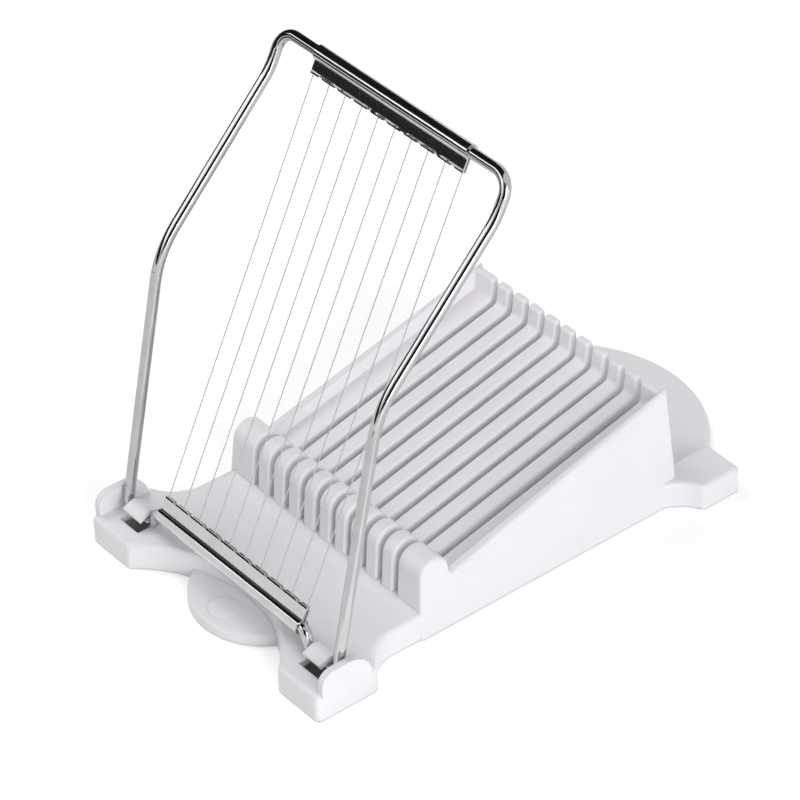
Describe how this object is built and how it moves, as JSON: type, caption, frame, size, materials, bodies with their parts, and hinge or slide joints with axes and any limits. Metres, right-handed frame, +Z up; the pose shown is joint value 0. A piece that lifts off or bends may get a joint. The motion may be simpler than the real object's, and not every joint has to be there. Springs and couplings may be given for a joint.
{
  "type": "wire slicer",
  "caption": "Hand slicer: a white sloping ribbed tray with wire slots, and a hinged chromed rod frame strung with cutting wires that swings down through the slots.",
  "frame": {"origin": "on the table under the middle of the bounding box, with the cutter raised as in the picture", "axes": "+X across, along the hinge; +Y from the hinge and thumb tab at the front to the rear plate; +Z up"},
  "size_m": [0.1116, 0.188, 0.1558],
  "materials": {
    "white_plastic": "smooth moulded white plastic with a soft gloss",
    "chromed_rod": "bright chromed steel rod",
    "chromed_strip": "bright folded sheet strip",
    "wire_steel": "drawn stainless wire"
  },
  "bodies": {
    "base": {"base_tray": "white_plastic"},
    "cutter": {"cutter_frame": "chromed_rod", "upper_wire_clip": "chromed_strip", "lower_wire_clip": "chromed_strip", "cutting_wire_01": "wire_steel", "cutting_wire_02": "wire_steel", "cutting_wire_03": "wire_steel", "cutting_wire_04": "wire_steel", "cutting_wire_05": "wire_steel", "cutting_wire_06": "wire_steel", "cutting_wire_07": "wire_steel", "cutting_wire_08": "wire_steel", "cutting_wire_09": "wire_steel", "cutting_wire_10": "wire_steel"}
  },
  "joints": [
    {"name": "cutter_hinge", "type": "hinge", "parent": "base", "child": "cutter", "pos_m": [0, -0.0829, 0.011], "axis": [1, 0, 0], "range_deg": [-64.6, 75]}
  ]
}
